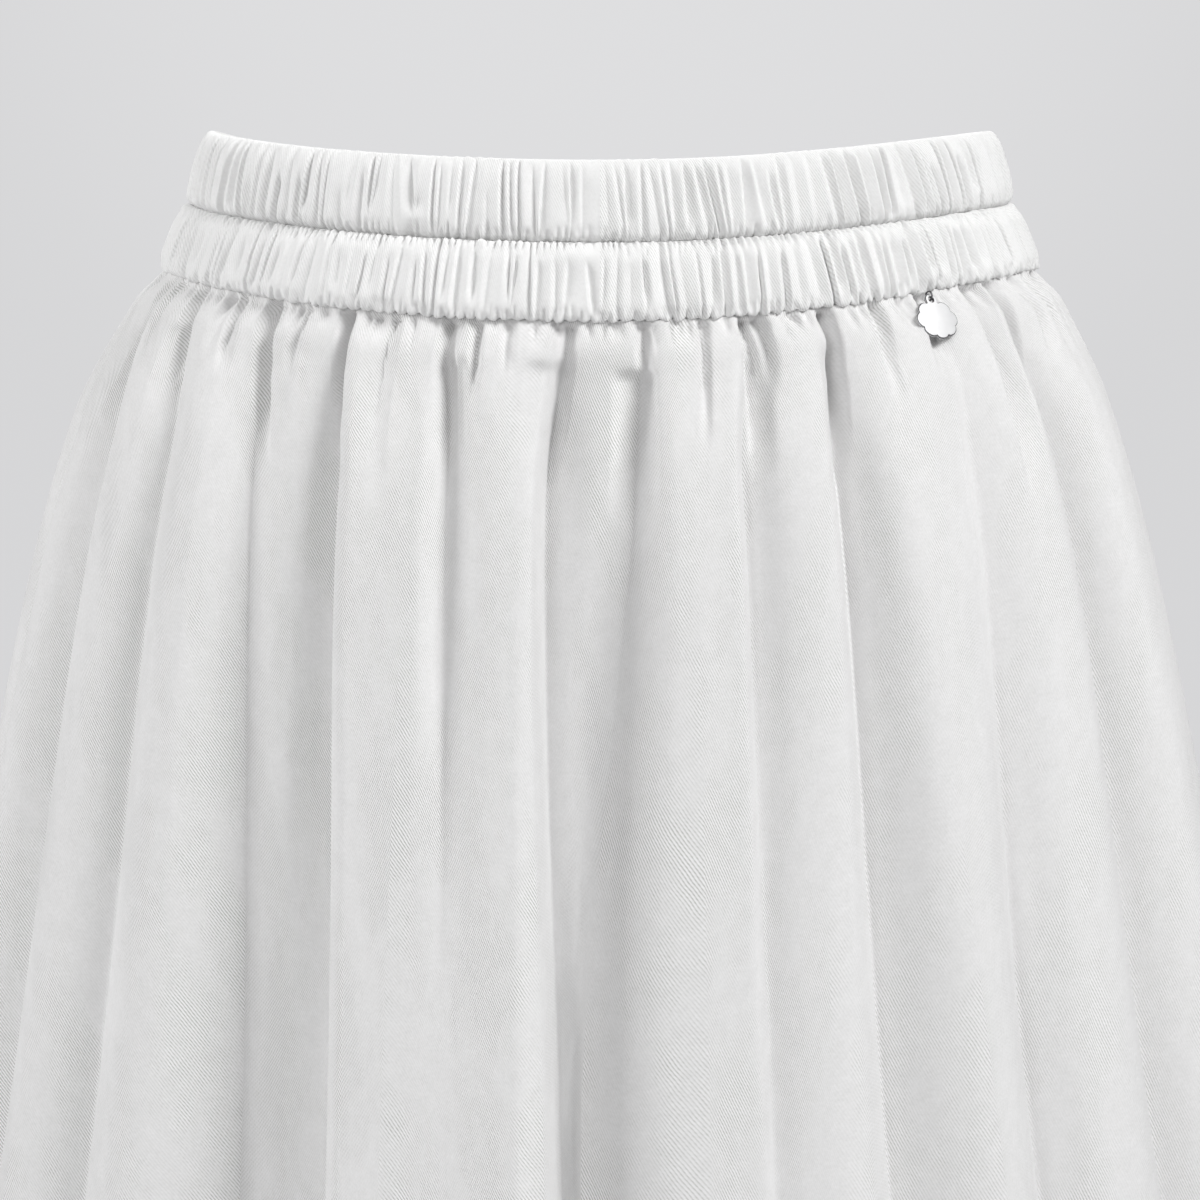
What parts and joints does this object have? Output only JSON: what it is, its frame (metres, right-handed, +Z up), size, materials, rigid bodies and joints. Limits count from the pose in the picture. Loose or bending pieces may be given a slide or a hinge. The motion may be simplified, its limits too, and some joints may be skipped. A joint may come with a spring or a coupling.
{
  "type": "a-line maxi skirt",
  "caption": "Full-length a-line skirt of white twill, gathered into a double elastic waistband, with a small blank hanging charm.",
  "frame": {"origin": "centre of the waist, level with the side ends of the seam between the two elastic channels", "axes": "+Z up; the centre front faces -Y; +X is to the right as seen from the front, and the charm is on that side"},
  "size_m": [0.684, 0.5545, 0.92],
  "materials": {
    "twill": "matt cotton twill with fine diagonal ribs, softly draped",
    "waistband_twill": "the same twill, closely gathered over elastic",
    "silver": "polished silver-coloured metal, blank"
  },
  "bodies": {
    "skirt": {"front_panel": "twill", "back_panel": "twill", "waistband_upper_channel": "waistband_twill", "waistband_lower_channel": "waistband_twill"},
    "charm_ring": {"charm_ring": "silver"},
    "charm": {"charm_plate": "silver"}
  },
  "joints": [
    {"name": "charm_ring_lift", "type": "hinge", "parent": "skirt", "child": "charm_ring", "pos_m": [0.10598, -0.07813, -0.02665], "axis": [-0.8006, -0.5991, 0], "range_deg": [0, 90]},
    {"name": "charm_swing", "type": "hinge", "parent": "charm_ring", "child": "charm", "pos_m": [0.10682, -0.07926, -0.0293], "axis": [0.529, -0.7069, 0.4695], "range_deg": [-50, 50]}
  ]
}
